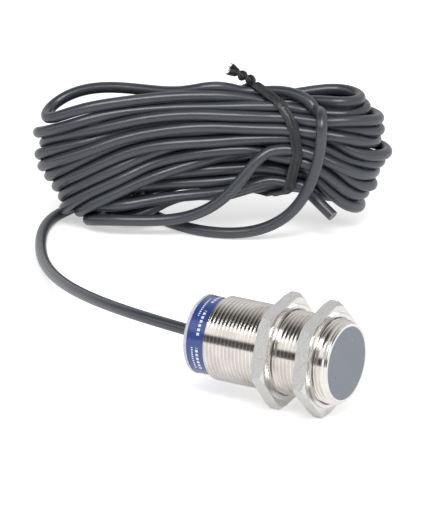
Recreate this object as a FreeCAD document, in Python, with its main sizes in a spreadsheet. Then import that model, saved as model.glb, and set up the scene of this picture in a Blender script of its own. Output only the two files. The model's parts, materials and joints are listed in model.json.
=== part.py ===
import FreeCAD, Part
import math
import os

# Inductive proximity sensor, M30 x 1.5 threaded barrel, with its own coiled cable.
# Frame: origin at the centre of the sensing face, +X straight out of the face along the
# barrel axis, +Z up. All sizes are millimetres.

V = FreeCAD.Vector
X_AXIS = V(1, 0, 0)
ALONG_X = FreeCAD.Rotation(V(0, 1, 0), 90)

doc = FreeCAD.newDocument("proximity_sensor")
sheet = doc.addObject("Spreadsheet::Sheet", "sizes")

SIZES = {
    "crest_r": 15.0, "thread_lead": 1.5, "thread_cut": 0.92, "flank_gap": 0.07,
    "barrel_len": 50.0, "bore_r": 13.0, "rim_r": 14.0, "rim_len": 0.5, "end_cham": 1.0,
    "cup_wall": 0.9, "cup_face": 1.2, "cup_len": 14.0, "cup_gap": 0.0,
    "core_r": 11.9, "core_len": 8.0, "core_back": 2.4, "post_r": 4.5, "slot_r": 9.8,
    "post_hole_r": 1.5, "lead_hole_r": 0.6, "lead_y": 6.6,
    "spool_tube": 0.6, "spool_flange": 0.5, "spool_r": 9.6, "spool_len": 5.2,
    "wind_r": 9.2, "wire_r": 0.2,
    "carrier_r": 12.1, "carrier_len": 4.8, "carrier_web": 1.6,
    "board_len": 35.0, "board_w": 20.0, "board_t": 1.6, "board_x": -46.4,
    "neck_r": 13.0, "neck_in": 11.6, "neck_len": 5.0, "sleeve_r": 13.65, "sleeve_len": 6.6,
    "flange_r": 14.05, "flange_len": 1.4, "cap_floor": 2.2, "label_t": 0.2, "label_gap": 0.05,
    "plug_len": 4.5, "cable_r": 2.1, "core_wire_r": 0.6, "copper_r": 0.3, "lay_r": 0.72,
    "crimp_t": 0.7, "crimp_len": 2.6,
    "nut_af": 36.0, "nut_len": 5.0, "nut_front_x": -5.62, "nut_rear_x": -22.12,
    "nut_cham_r": 19.2, "washer_r": 17.0, "washer_bore": 15.06, "washer_t": 0.6,
    "washer_gap": 0.02, "tooth": 0.32,
}
for row, (alias, value) in enumerate(SIZES.items(), start=1):
    sheet.set("A%d" % row, alias)
    sheet.set("B%d" % row, str(value))
    sheet.setAlias("B%d" % row, alias)
doc.recompute()


def size(alias):
    return float(sheet.get(alias))


def ref(text):
    """Spreadsheet names written as $name become full references."""
    out = ""
    for i, piece in enumerate(text.split("$")):
        out += piece if i == 0 else "sizes." + piece
    return out


def bind(item, **links):
    for prop, text in links.items():
        item.setExpression(prop.replace("__", "."), ref(text))


def disc(name, radius, length, x="0", y=None, z=None):
    """A cylinder along +X whose low end is at x."""
    item = doc.addObject("Part::Cylinder", name)
    item.Placement = FreeCAD.Placement(V(0, 0, 0), ALONG_X)
    bind(item, Radius=radius, Height=length, Placement__Base__x=x)
    if y:
        bind(item, Placement__Base__y=y)
    if z:
        bind(item, Placement__Base__z=z)
    return item


def cone(name, r_low, r_high, length, x):
    item = doc.addObject("Part::Cone", name)
    item.Placement = FreeCAD.Placement(V(0, 0, 0), ALONG_X)
    bind(item, Radius1=r_low, Radius2=r_high, Height=length, Placement__Base__x=x)
    return item


def box(name, lx, ly, lz, x, y, z):
    item = doc.addObject("Part::Box", name)
    bind(item, Length=lx, Width=ly, Height=lz)
    bind(item, Placement__Base__x=x, Placement__Base__y=y, Placement__Base__z=z)
    return item


def fuse(name, items):
    item = doc.addObject("Part::MultiFuse", name)
    item.Shapes = items
    item.Refine = True
    return item


def cut(name, base, tools):
    tool = tools[0] if len(tools) == 1 else fuse(name + "_tools", tools)
    item = doc.addObject("Part::Cut", name)
    item.Base = base
    item.Tool = tool
    item.Refine = True
    return item


def both(name, first, second):
    item = doc.addObject("Part::Common", name)
    item.Base = first
    item.Tool = second
    return item


def feature(name, shape):
    item = doc.addObject("Part::Feature", name)
    item.Shape = shape
    return item


def group(name, items):
    item = doc.addObject("Part::Compound", name)
    item.Links = items
    return item


NODES = []


def node(item, label):
    item.Label = label
    NODES.append(item)
    return item


def tube(name, outer, inner, length, x):
    """A plain ring or tube along +X."""
    body = disc(name + "_outer", outer, length, x)
    hole = disc(name + "_inner", inner, length + " + 2", x + " - 1")
    return cut(name, body, [hole])


# ---------------------------------------------------------------- thread
T30 = math.tan(math.pi / 6)


def helix_ridge(profile, x0, length):
    """A closed (radius, offset) profile swept along the right-hand thread helix from x0."""
    lead = size("thread_lead")
    path = Part.makeHelix(lead, lead, size("crest_r"))
    points = [V(r, 0, z) for r, z in profile]
    wire = Part.makePolygon(points + [points[0]])
    one_turn = path.makePipeShell([wire], True, True)
    one_turn.rotate(V(0, 0, 0), V(0, 1, 0), 90)
    turns = []
    for k in range(int(math.ceil(length / lead))):
        turn = one_turn.copy()
        turn.translate(V(x0 + k * lead, 0, 0))
        turns.append(turn)
    return turns[0].multiFuse(turns[1:])


def thread_start():
    return -size("barrel_len") - size("thread_lead")


def groove_shape():
    """The helical groove that leaves the outside thread: flat root, 60 degree flanks."""
    crest = size("crest_r")
    depth = size("thread_cut")
    over = 0.15
    root = size("thread_lead") / 12
    outer = root + (depth + over) * T30
    low = crest - depth
    high = crest + over
    profile = [(low, -root), (low, root), (high, outer), (high, -outer)]
    return helix_ridge(profile, thread_start(), size("barrel_len") + 1.7 * size("thread_lead"))


def tap_shape(x_from, x_to):
    """The ridge of the outside thread grown by the flank gap, used to cut an inside thread."""
    crest = size("crest_r")
    lead = size("thread_lead")
    gap = size("flank_gap") / math.cos(math.pi / 6)

    def half(radius):
        return lead / 16 + (crest - radius) * T30 + gap

    low = crest - size("thread_cut") + 0.06
    high = crest + 0.1
    profile = [(low, -half(low)), (low, half(low)), (high, half(high)), (high, -half(high))]
    ridge_x = thread_start() + lead / 2
    turns = math.floor((x_from - ridge_x) / lead) - 1
    begin = ridge_x + turns * lead
    return helix_ridge(profile, begin, x_to - begin + lead)


# ---------------------------------------------------------------- barrel and face
def make_barrel():
    x_end = "-$barrel_len"
    straight = disc("barrel_rod", "$crest_r", "$barrel_len - $rim_len - 2 * $end_cham",
                    x_end + " + $end_cham")
    rear = cone("barrel_rear_cone", "$rim_r", "$crest_r", "$end_cham", x_end)
    front = cone("barrel_front_cone", "$crest_r", "$rim_r", "$end_cham", "-$rim_len - $end_cham")
    rim = disc("barrel_rim", "$rim_r", "$rim_len", "-$rim_len")
    blank = fuse("barrel_blank", [straight, rear, front, rim])
    bore = disc("barrel_bore", "$bore_r", "$barrel_len + 4", x_end + " - 2")
    groove = feature("barrel_groove", groove_shape())
    return node(cut("housing_barrel", blank, [bore, groove]), "housing_barrel")


def make_face_cap():
    outer = disc("cap_outer", "$bore_r", "$cup_len", "-$cup_len")
    inner = disc("cap_inner", "$bore_r - $cup_wall", "$cup_len", "-$cup_len - $cup_face")
    return node(cut("sensing_face_cap", outer, [inner]), "sensing_face_cap")


# ---------------------------------------------------------------- coil unit
def lead_holes(name, radius, x, length):
    left = disc(name + "_l", radius, length, x, "$lead_y")
    right = disc(name + "_r", radius, length, x, "-$lead_y")
    return [left, right]


def make_core():
    x_back = "-$cup_face - $core_len"
    body = disc("core_body", "$core_r", "$core_len", x_back)
    ring = tube("core_slot", "$slot_r", "$post_r", "$core_len", x_back + " + $core_back")
    hole = disc("core_hole", "$post_hole_r", "$core_len + 2", x_back + " - 1")
    leads = lead_holes("core_lead", "$lead_hole_r", x_back + " - 1", "$core_back + 2")
    return node(cut("ferrite_core", body, [ring, hole] + leads), "ferrite_core")


def make_bobbin():
    x = "-$cup_face - $core_len + $core_back"
    barrel = disc("spool_tube_body", "$post_r + $spool_tube", "$spool_len", x)
    low = disc("spool_low", "$spool_r", "$spool_flange", x)
    high = disc("spool_high", "$spool_r", "$spool_flange", x + " + $spool_len - $spool_flange")
    body = fuse("spool_body", [barrel, low, high])
    hole = disc("spool_hole", "$post_r", "$spool_len + 2", x + " - 1")
    leads = lead_holes("spool_lead", "$wire_r + 0.1", x + " - 1", "$spool_flange + 1")
    return node(cut("coil_bobbin", body, [hole] + leads), "coil_bobbin")


def make_winding():
    x = "-$cup_face - $core_len + $core_back + $spool_flange"
    ring = tube("winding_ring", "$wind_r", "$post_r + $spool_tube",
                "$spool_len - 2 * $spool_flange", x)
    return node(ring, "coil_winding")


def make_coil_leads():
    x_tip = "-$cup_face - $core_len + $core_back + $spool_flange"
    length = "$core_back + $spool_flange + 3.2"
    left = disc("lead_left", "$wire_r", length, x_tip + " - (" + length + ")", "$lead_y")
    right = disc("lead_right", "$wire_r", length, x_tip + " - (" + length + ")", "-$lead_y")
    for item in (left, right):
        bind(item, Placement__Base__z="0")
    return node(group("coil_leads", [left, right]), "coil_leads")


def board_box(name):
    return box(name, "$board_len", "$board_w", "$board_t", "$board_x", "-$board_w / 2",
               "-$board_t - $wire_r")


def make_carrier():
    """The plastic ring behind the core; its web holds the front edge of the board."""
    x = "-$cup_face - $core_len - $carrier_len"
    body = disc("carrier_body", "$carrier_r", "$carrier_len", x)
    pocket = disc("carrier_pocket", "$carrier_r - 1.2", "$carrier_len - $carrier_web", x)
    leads = lead_holes("carrier_lead", "$lead_hole_r", x, "$carrier_len + 1")
    board = board_box("carrier_board")
    return node(cut("core_carrier", body, [pocket, board] + leads), "core_carrier")


# ---------------------------------------------------------------- circuit
def make_board():
    return node(board_box("circuit_board"), "circuit_board")


TOP = "-$wire_r"


def chip(name, lx, ly, lz, x, y, top=TOP):
    return box(name, lx, ly, lz, x, y, top)


def make_oscillator():
    """A small eight-leg chip standing on its gull-wing legs."""
    body = box("osc_body", "5", "4", "1.4", "-23", "-2", TOP + " + 0.15")
    legs = []
    for k in range(4):
        x = "-%.2f" % (22.6 - 1.27 * k)
        legs.append(box("osc_leg_a%d" % k, "0.4", "6", "0.2", x, "-3", TOP))
        legs.append(box("osc_leg_b%d" % k, "0.4", "4.6", "0.6", x, "-2.3", TOP))
    return node(fuse("oscillator_chip", [body] + legs), "oscillator_chip")


def make_transistor():
    body = box("tra_body", "6.2", "6.4", "2.2", "-36.2", "2.6", TOP + " + 0.1")
    tab = box("tra_tab", "5.2", "7.6", "0.5", "-35.7", "2", TOP)
    legs = [box("tra_leg%d" % k, "0.8", "1.6", "0.5", "%.2f" % (-35.5 + 2.1 * k),
                "1.2", TOP) for k in range(3)]
    return node(fuse("output_transistor", [body, tab] + legs), "output_transistor")


def row_of_chips(name, count, lx, ly, lz, x0, y0, dx, dy):
    items = []
    for k in range(count):
        x = "%.2f" % (x0 + dx * k)
        y = "%.2f" % (y0 + dy * k)
        items.append(box("%s_%d" % (name, k), lx, ly, lz, x, y, TOP))
    return items


def make_resistors():
    items = row_of_chips("res_a", 4, "1.2", "2", "0.5", -17.6, -8.4, -2.2, 0.0)
    items += row_of_chips("res_b", 3, "1.2", "2", "0.5", -17.6, 5.6, -2.2, 0.0)
    return node(group("chip_resistors", items), "chip_resistors")


def make_capacitors():
    items = row_of_chips("cap_a", 3, "1.6", "2", "1.2", -28.4, -8.4, -2.8, 0.0)
    items += row_of_chips("cap_b", 1, "3.2", "2.5", "1.6", -28.6, -3.4, 0.0, 0.0)
    return node(group("chip_capacitors", items), "chip_capacitors")


def make_tantalum():
    body = box("tan_body", "6", "3.2", "2.5", "-37.6", "-4.9", TOP + " + 0.1")
    ends = [box("tan_end%d" % k, "1", "2.4", "0.4", "%.2f" % (-38.2 + 6.2 * k),
                "-4.5", TOP) for k in range(2)]
    return node(fuse("tantalum_capacitor", [body] + ends), "tantalum_capacitor")


def make_diode():
    body = box("dio_body", "4.3", "2.6", "2.1", "-28.2", "5.6", TOP + " + 0.1")
    ends = [box("dio_end%d" % k, "0.9", "1.5", "0.5", "%.2f" % (-28.7 + 4.4 * k),
                "6.15", TOP) for k in range(2)]
    return node(fuse("protection_diode", [body] + ends), "protection_diode")


def make_leds():
    items = []
    for side in (-1, 1):
        base = box("led_base%d" % (side + 1), "1.6", "1.6", "0.5", "-43",
                   "%.2f" % (side * 8.6 - 0.8), TOP)
        lens = doc.addObject("Part::Sphere", "led_lens%d" % (side + 1))
        bind(lens, Radius="0.7", Placement__Base__x="-42.2",
             Placement__Base__y="%.2f" % (side * 8.6), Placement__Base__z=TOP + " + 0.75")
        items.append(fuse("led_%d" % (side + 1), [base, lens]))
    return node(group("status_leds", items), "status_leds")


# ---------------------------------------------------------------- rear end
def make_end_cap():
    """The clear rear cap: neck in the bore, sleeve under the label, flange at the very end."""
    x_face = "-$barrel_len"
    x_sleeve = "-$barrel_len - $sleeve_len"
    x_rear = "-$barrel_len - $sleeve_len - $flange_len"
    neck = disc("endcap_neck", "$neck_r", "$neck_len", x_face)
    sleeve = disc("endcap_sleeve", "$sleeve_r", "$sleeve_len", x_sleeve)
    flange = disc("endcap_flange", "$flange_r", "$flange_len - 0.5", x_rear + " + 0.5")
    edge = cone("endcap_edge", "$flange_r - 0.5", "$flange_r", "0.5", x_rear)
    body = fuse("endcap_body", [neck, sleeve, flange, edge])
    room = disc("endcap_room", "$neck_in", "$neck_len + $sleeve_len + $flange_len - $cap_floor",
                x_rear + " + $cap_floor")
    hole = disc("endcap_hole", "$cable_r", "$cap_floor + 2", x_rear + " - 1")
    return node(cut("end_cap", body, [room, hole]), "end_cap")


def make_label():
    x = "-$barrel_len - $sleeve_len + $label_gap"
    return node(tube("label_ring", "$sleeve_r + $label_t", "$sleeve_r",
                     "$sleeve_len - 2 * $label_gap", x), "label_band")


def wire_spots():
    """The three places, (y, z), where the insulated wires sit inside the jacket."""
    lay = size("lay_r")
    return [(lay * math.cos(a), lay * math.sin(a))
            for a in (math.radians(90 + 120 * k) for k in range(3))]


def round_bar(points, radius):
    """A round bar along a smooth curve through the points."""
    curve = Part.BSplineCurve()
    tangent_in = points[1] - points[0]
    tangent_out = points[-1] - points[-2]
    curve.interpolate(Points=points, InitialTangent=tangent_in, FinalTangent=tangent_out)
    path = Part.Wire([curve.toShape()])
    ring = Part.Wire([Part.makeCircle(radius, points[0], tangent_in)])
    return path.makePipeShell([ring], True, False)


def pad_place(k):
    """The y place of the pad of wire k: the first wire, on top, goes to the middle pad."""
    return 3.4 * (0, -1, 1)[k] - 0.4


def wire_route(k):
    """Insulated wire k: along the board top, through the plug, then into the jacket."""
    y, z = wire_spots()[k]
    pad_y = pad_place(k)
    lift = size("core_wire_r") - size("wire_r") + 0.04
    xs = size("board_x") + 4.4
    return [V(xs, pad_y, lift), V(xs - 2.5, pad_y, lift), V(xs - 4.5, pad_y * 0.93, lift),
            V(-49.0, y + (pad_y - y) * 0.12, z + (lift - z) * 0.12), V(-50.8, y, z)]


def inner_wire(k):
    y, z = wire_spots()[k]
    bend = round_bar(wire_route(k), size("core_wire_r"))
    straight = Part.makeCylinder(size("core_wire_r"), 6.2, V(-50.8, y, z), V(-1, 0, 0))
    return bend.fuse(straight)


def make_plug(wires):
    x = "-$barrel_len + 0.5"
    body = disc("plug_body", "$neck_in", "$plug_len", x)
    slotted = cut("plug_slotted", body, [board_box("plug_board")])
    tool = feature("plug_wires", Part.makeCompound(wires))
    return node(cut("potting_resin", slotted, [tool]), "potting_resin")


def make_crimp():
    ring = tube("crimp_ring", "$cable_r + $crimp_t", "$cable_r", "$crimp_len",
                "-$barrel_len - 4.6")
    return node(ring, "cable_crimp_ring")


# ---------------------------------------------------------------- nuts and lock washers
def make_nut(side, corner_angle):
    """A chamfered hexagon nut with a real inside thread in step with the barrel thread."""
    front = "$nut_%s_x" % side
    rear = front + " - $nut_len"
    name = side + "_nut"
    hexagon = doc.addObject("Part::Prism", name + "_hexagon")
    hexagon.Polygon = 6
    turn = FreeCAD.Rotation(V(1, 0, 0), corner_angle + 90) * FreeCAD.Rotation(V(0, 0, 1), V(1, 0, 0))
    hexagon.Placement = FreeCAD.Placement(V(0, 0, 0), turn)
    bind(hexagon, Circumradius="$nut_af / sqrt(3)", Height="$nut_len", Placement__Base__x=rear)
    slope = "($nut_af / sqrt(3) + 0.5 - $nut_cham_r)"
    depth = slope + " * 0.57735"
    wide = "$nut_cham_r + " + slope
    low = cone(name + "_low", "$nut_cham_r", wide, depth, rear)
    mid = disc(name + "_mid", wide, "$nut_len - 2 * " + depth, rear + " + " + depth)
    high = cone(name + "_high", wide, "$nut_cham_r", depth, front + " - " + depth)
    turned = fuse(name + "_turned", [low, mid, high])
    blank = both(name + "_blank", hexagon, turned)
    bore = disc(name + "_bore", "$crest_r - $thread_cut + 0.11", "$nut_len + 2",
                rear + " - 1")
    lead_in = cone(name + "_lead_in", "$crest_r - $thread_cut", "$crest_r + 0.3", "1.22",
                   front + " - 1.22")
    lead_out = cone(name + "_lead_out", "$crest_r + 0.3", "$crest_r - $thread_cut", "1.22",
                    rear)
    x_front = size("nut_%s_x" % side)
    x_rear = x_front - size("nut_len")
    tap = feature(name + "_tap", tap_shape(x_rear, x_front))
    return node(cut(name, blank, [bore, lead_in, lead_out, tap]), name)


def tooth_outline(x, outer, depth, count):
    """A closed saw-tooth ring outline in the plane at x."""
    points = []
    for k in range(count):
        a = 2 * math.pi * k / count
        b = 2 * math.pi * (k + 0.5) / count
        points.append(V(x, outer * math.cos(a), outer * math.sin(a)))
        points.append(V(x, (outer - depth) * math.cos(b), (outer - depth) * math.sin(b)))
    return Part.makePolygon(points + [points[0]])


def make_washer(side):
    """A thin lock washer with fine teeth all round, just in front of its nut."""
    x = size("nut_%s_x" % side) + size("washer_gap")
    thick = size("washer_t")
    face = Part.Face(tooth_outline(x, size("washer_r"), size("tooth"), TEETH))
    toothed = feature(side + "_washer_toothed", face.extrude(V(thick, 0, 0)))
    start = "$nut_%s_x + $washer_gap" % side
    bore = disc(side + "_washer_bore", "$washer_bore", "$washer_t + 1", start + " - 0.5")
    bevel = cone(side + "_washer_bevel", "$washer_bore", "$washer_bore + 0.55", "0.35",
                 start + " + $washer_t - 0.35")
    name = side + "_lock_washer"
    return node(cut(name, toothed, [bore, bevel]), name)


TEETH = 200

# ---------------------------------------------------------------- cable route
# The coil is laid out in its own level frame: u along the coil, v away from the sensor's
# sensing side, z up. YAW turns u and v into the sensor's X and Y.
YAW = math.radians(31.0)
CABLE_R = size("cable_r")
FLOOR_Z = -20.05
LOW = FLOOR_Z + CABLE_R + 0.05
COIL_V = 201.0
TIE_U = -17.5
TIE_FRONT_V = COIL_V - 13.5
TIE_Z = 13.5
TIE_HALF_Z = 18.6
TIE_HALF_V = 13.4
OUTER_TURNS = 10
INNER_TURNS = 8
STEP = 4.6
STRAIGHT_STEPS = 3
HELD = 34


def tie_plane_u(v):
    """The tie crosses the coil slantwise: its plane moves along the coil with depth."""
    return TIE_U - (v - TIE_FRONT_V)


def mix(a, b, share):
    return a * (1.0 - share) + b * share


def wobble(i, j):
    """A repeatable small number between -1 and 1."""
    return math.sin(12.9898 * i + 78.233 * j + 1.7) * math.cos(4.17 * i - 3.31 * j)


def gap_between(a, b):
    return math.sqrt((a[0] - b[0]) ** 2 + (a[1] - b[1]) ** 2 + (a[2] - b[2]) ** 2)


def arc_piece(start, start_pull, end, end_pull, count):
    """Points on a smooth curve between two places with given directions."""
    out = []
    for k in range(count):
        t = k / count
        a = 2 * t ** 3 - 3 * t ** 2 + 1
        b = t ** 3 - 2 * t ** 2 + t
        c = 3 * t ** 2 - 2 * t ** 3
        d = t ** 3 - t ** 2
        out.append(tuple(a * start[i] + b * start_pull[i] + c * end[i] + d * end_pull[i]
                         for i in range(3)))
    return out


def cap_exit(k):
    """Point k of the straight piece on the barrel axis, in the coil frame."""
    x = -size("barrel_len") - STEP * k
    return (x * math.cos(YAW), -x * math.sin(YAW), 0.0)


def lead_points():
    c = math.cos(YAW)
    s = math.sin(YAW)
    side = (-110.0, COIL_V - 25.0, LOW)
    entry = (-95.0, COIL_V + 12.0, LOW)
    out = arc_piece(cap_exit(STRAIGHT_STEPS), (-c * 136, s * 136, 9.0), side, (0, 140, -4), 22)
    out += arc_piece(side, (0, 55, 0), entry, (40, 8, 0), 6)
    return out


def hero_points():
    """The loose turn: out below the coil, round the front and over the top into the tie."""
    v = COIL_V
    return [(-84, v + 9, LOW), (-72, v + 5, LOW), (-62, v - 5, LOW), (-50.5, v - 16, LOW),
            (-39, v - 17, LOW), (-28, v - 18, LOW + 2), (-19, v - 20, LOW + 7.5),
            (-12.5, v - 22, LOW + 17), (-8.5, v - 22.5, LOW + 27), (-6.8, v - 22, LOW + 37.5),
            (-7.2, v - 20.5, LOW + 47.5), (-10, v - 17.5, LOW + 57), (-15, v - 13, LOW + 62.5),
            (-20.5, v - 9, LOW + 63.5), (-27, v - 6, LOW + 60.5), (-34, v - 4.5, LOW + 55.5),
            (-48, v - 2.5, LOW + 51), (-66, v + 2, LOW + 49.5), (-84, v + 6, LOW + 49),
            (-100, v + 6, LOW + 46.5)]


def left_height(q):
    return 21.5 - 41.0 * q ** 0.92


def tie_height(q):
    return TIE_Z + 15.6 * (1.0 - 2.0 * q)


def front_tie_height(q):
    return 31.0 - 23.0 * q


def inner_tie_height(q):
    return 12.0 - 16.0 * q


def right_height(q):
    return 31.5 - 42.5 * q


def left_tip(z):
    return -110.5 + 0.0205 * (z - 11.0) ** 2


def right_tip(z):
    return 17.0 - 0.030 * (z - 10.0) ** 2


def turn_points(share, next_share, tip_w, tie_v, number, inset, z_tie):
    """One turn: left end, front run, right end, rear run. share runs from top 0 to bottom 1."""
    back = 0.5 * (share + next_share)
    w = [wobble(number, k) for k in range(6)]
    v = COIL_V
    z_left = left_height(share)
    z_next = left_height(next_share)
    z_back = left_height(back)
    z_tie_back = tie_height(back)
    z_right = right_height(back)
    tip = left_tip(z_left) + inset + 2.5 * w[1]
    tip_next = left_tip(z_next) + inset
    far = right_tip(z_right) - inset + 2.5 * w[2]
    waist = mix(tip_w, tie_v, 0.5)
    neck = mix(tip_w, tie_v, 0.6)
    return [(tip, v + w[3], z_left + w[1]),
            (tip + 4, v - 0.75 * tip_w, mix(z_left, z_tie, 0.16)),
            (tip + 14, v - tip_w, mix(z_left, z_tie, 0.46) + 1.0 * w[3]),
            (tip + 31, v - waist, mix(z_left, z_tie, 0.80) + 1.5 * w[4]),
            (tip + 50, v - tie_v, mix(z_left, z_tie, 0.95) + 1.2 * w[5]),
            (TIE_U, v - tie_v, z_tie),
            (-3, v - neck, mix(z_tie, z_right, 0.38)),
            (far - 9, v - tip_w, mix(z_right, z_tie, 0.08) + 1.8 * w[1]),
            (far - 2.5, v - 0.7 * tip_w, z_right),
            (far, v, z_right + 0.4 * w[2]),
            (far - 2.5, v + 0.7 * tip_w, z_right),
            (far - 9, v + tip_w, mix(z_right, z_tie_back, 0.08) - 1.8 * w[3]),
            (-3, v + neck, mix(z_tie_back, z_right, 0.38)),
            (TIE_U, v + tie_v, z_tie_back),
            (-48, v + tie_v, mix(z_back, z_tie_back, 0.78) + 2.5 * w[3]),
            (-78, v + waist, mix(z_back, z_tie_back, 0.40) + 3.0 * w[2]),
            (tip_next + 15, v + tip_w, max(mix(z_next, z_tie_back, 0.07) - 4.0 + 1.5 * w[4], LOW)),
            (tip_next + 4, v + 0.75 * tip_w, max(z_next - 3.5, LOW))]


def sag_turn():
    """A front strand that sags below the coil and climbs slantwise to the tie."""
    v = COIL_V
    return [(-92, v - 3, LOW + 2.5), (-86, v - 10.5, LOW + 3.5), (-73, v - 13.5, LOW + 4.0),
            (-60, v - 14.5, LOW + 5.0), (-49.5, v - 16, LOW + 8.5), (-41, v - 17.5, LOW + 15),
            (-33.5, v - 17.5, LOW + 22.5), (-26.5, v - 16.5, LOW + 31), (TIE_U + 1, v - 14, 16),
            (-3, v - 12, 9), (8, v - 9, 3), (14, v - 2, 0.5), (12, v + 8, 0),
            (2, v + 12, 1), (TIE_U, v + 12.5, 3), (-45, v + 12, -2),
            (-70, v + 10, -9), (-88, v + 8, -12)]


def end_points():
    """The last strand: low along the front, under the tie and out to the cut end."""
    v = COIL_V
    return [(-94, v + 1, LOW + 9), (-88, v - 5.5, LOW + 9), (-70, v - 8, LOW + 10),
            (-48, v - 8.5, LOW + 13), (-30, v - 9.5, LOW + 15), (TIE_U, v - 12, LOW + 14.5),
            (-11, v - 14.0, LOW + 13.5), (-6, v - 15.2, LOW + 12.5), (-0.5, v - 16.2, LOW + 11)]


def route_guide():
    points = lead_points() + hero_points()
    for k in range(OUTER_TURNS):
        top = k / OUTER_TURNS
        nxt = (k + 1) / OUTER_TURNS
        bulge = 1.0 - (2 * top - 1.0) ** 2
        points += turn_points(top, nxt, 9.6, 6.5 + 4.5 * bulge, k + 20, 0.0, front_tie_height(top))
    points += sag_turn()
    for k in range(INNER_TURNS):
        low = 0.93 - 0.86 * k / INNER_TURNS
        nxt = 0.93 - 0.86 * (k + 1) / INNER_TURNS
        if k == INNER_TURNS - 1:
            nxt = 0.80
        points += turn_points(low, nxt, 6.2, 4.3, k, 7.0, inner_tie_height(low))
    return points + end_points()


def even_points(points, step):
    """Evenly spaced points on a smooth curve through the given points."""
    first = tuple(2 * a - b for a, b in zip(points[0], points[1]))
    last = tuple(2 * a - b for a, b in zip(points[-1], points[-2]))
    q = [first] + list(points) + [last]
    dense = []
    for i in range(1, len(q) - 2):
        p0, p1, p2, p3 = q[i - 1:i + 3]
        d1 = max(gap_between(p0, p1), 1e-6) ** 0.5
        d2 = max(gap_between(p1, p2), 1e-6) ** 0.5
        d3 = max(gap_between(p2, p3), 1e-6) ** 0.5
        pull = []
        push = []
        for k in range(3):
            pull.append(d2 * ((p1[k] - p0[k]) / d1 - (p2[k] - p0[k]) / (d1 + d2)
                              + (p2[k] - p1[k]) / d2))
            push.append(d2 * ((p2[k] - p1[k]) / d2 - (p3[k] - p1[k]) / (d2 + d3)
                              + (p3[k] - p2[k]) / d3))
        dense += arc_piece(p1, pull, p2, push, max(2, int(gap_between(p1, p2) / 0.4)))
    dense.append(tuple(points[-1]))
    lengths = [gap_between(dense[i], dense[i + 1]) for i in range(len(dense) - 1)]
    count = int(sum(lengths) / step)
    gap = sum(lengths) / count
    out = [dense[0]]
    run = 0.0
    for i, d in enumerate(lengths):
        while run + d >= gap * len(out) - 1e-9 and len(out) < count:
            k = (gap * len(out) - run) / d
            out.append(tuple(mix(dense[i][m], dense[i + 1][m], k) for m in range(3)))
        run += d
    out.append(dense[-1])
    return out, gap


def clamp(value):
    return 0.0 if value < 0.0 else (1.0 if value > 1.0 else value)


def closest(p, q, r, s):
    """Where segments pq and rs come nearest, and the vector between those places."""
    ux, uy, uz = q[0] - p[0], q[1] - p[1], q[2] - p[2]
    vx, vy, vz = s[0] - r[0], s[1] - r[1], s[2] - r[2]
    wx, wy, wz = p[0] - r[0], p[1] - r[1], p[2] - r[2]
    a = ux * ux + uy * uy + uz * uz
    b = ux * vx + uy * vy + uz * vz
    c = vx * vx + vy * vy + vz * vz
    d = ux * wx + uy * wy + uz * wz
    e = vx * wx + vy * wy + vz * wz
    den = a * c - b * b
    sc = clamp((b * e - c * d) / den) if den > 1e-9 else 0.0
    tc = (b * sc + e) / c
    if tc < 0.0:
        tc = 0.0
        sc = clamp(-d / a)
    elif tc > 1.0:
        tc = 1.0
        sc = clamp((b - d) / a)
    return sc, tc, wx + sc * ux - tc * vx, wy + sc * uy - tc * vy, wz + sc * uz - tc * vz


def near_pairs(p, reach, skip):
    """Pairs of segments of the route that lie within reach of each other."""
    cell = reach + STEP
    grid = {}
    for i in range(len(p) - 1):
        key = tuple(int((p[i][k] + p[i + 1][k]) / 2 // cell) for k in range(3))
        grid.setdefault(key, []).append(i)
    steps = [(a, b, c) for a in (-1, 0, 1) for b in (-1, 0, 1) for c in (-1, 0, 1)]
    pairs = []
    for key, mine in grid.items():
        for step in steps:
            other = grid.get((key[0] + step[0], key[1] + step[1], key[2] + step[2]), ())
            for i in mine:
                for j in other:
                    if j > i + skip:
                        d = closest(p[i], p[i + 1], p[j], p[j + 1])
                        if d[2] ** 2 + d[3] ** 2 + d[4] ** 2 < reach * reach:
                            pairs.append((i, j))
    return pairs


def shift(point, vector, amount):
    point[0] += amount * vector[0]
    point[1] += amount * vector[1]
    point[2] += amount * vector[2]


def keep_apart(p, pairs, want):
    """Push touching strands apart until their centre lines are want apart."""
    for i, j in pairs:
        s, t, dx, dy, dz = closest(p[i], p[i + 1], p[j], p[j + 1])
        d = math.sqrt(dx * dx + dy * dy + dz * dz)
        if d >= want:
            continue
        way = (dx / d, dy / d, dz / d) if d > 1e-6 else (0.0, 0.0, 1.0)
        push = 0.42 * (want - d)
        for k, share in ((i, 1 - s), (i + 1, s)):
            if k >= HELD:
                shift(p[k], way, push * share)
        for k, share in ((j, 1 - t), (j + 1, t)):
            if k >= HELD:
                shift(p[k], way, -push * share)


def keep_length(p, gap):
    for i in range(HELD, len(p) - 1):
        a = p[i]
        b = p[i + 1]
        way = (b[0] - a[0], b[1] - a[1], b[2] - a[2])
        d = math.sqrt(way[0] ** 2 + way[1] ** 2 + way[2] ** 2)
        k = 0.4 * (d - gap) / d
        if i > HELD:
            shift(a, way, k)
        shift(b, way, -k)


def keep_smooth(p, gap, bend):
    tightest = gap * gap / 6.6
    for i in range(HELD, len(p) - 2):
        q = p[i]
        a = p[i - 1]
        b = p[i + 1]
        mid = [0.5 * (a[m] + b[m]) - q[m] for m in range(3)]
        far = [0.5 * (p[i - 2][m] + p[i + 2][m]) - q[m] for m in range(3)]
        shift(q, [(4 * mid[m] - far[m]) / 3 for m in range(3)], bend)
        sag = 2 * math.sqrt(mid[0] ** 2 + mid[1] ** 2 + mid[2] ** 2)
        if sag > tightest:
            shift(q, mid, 0.5 * (1 - tightest / sag))


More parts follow.
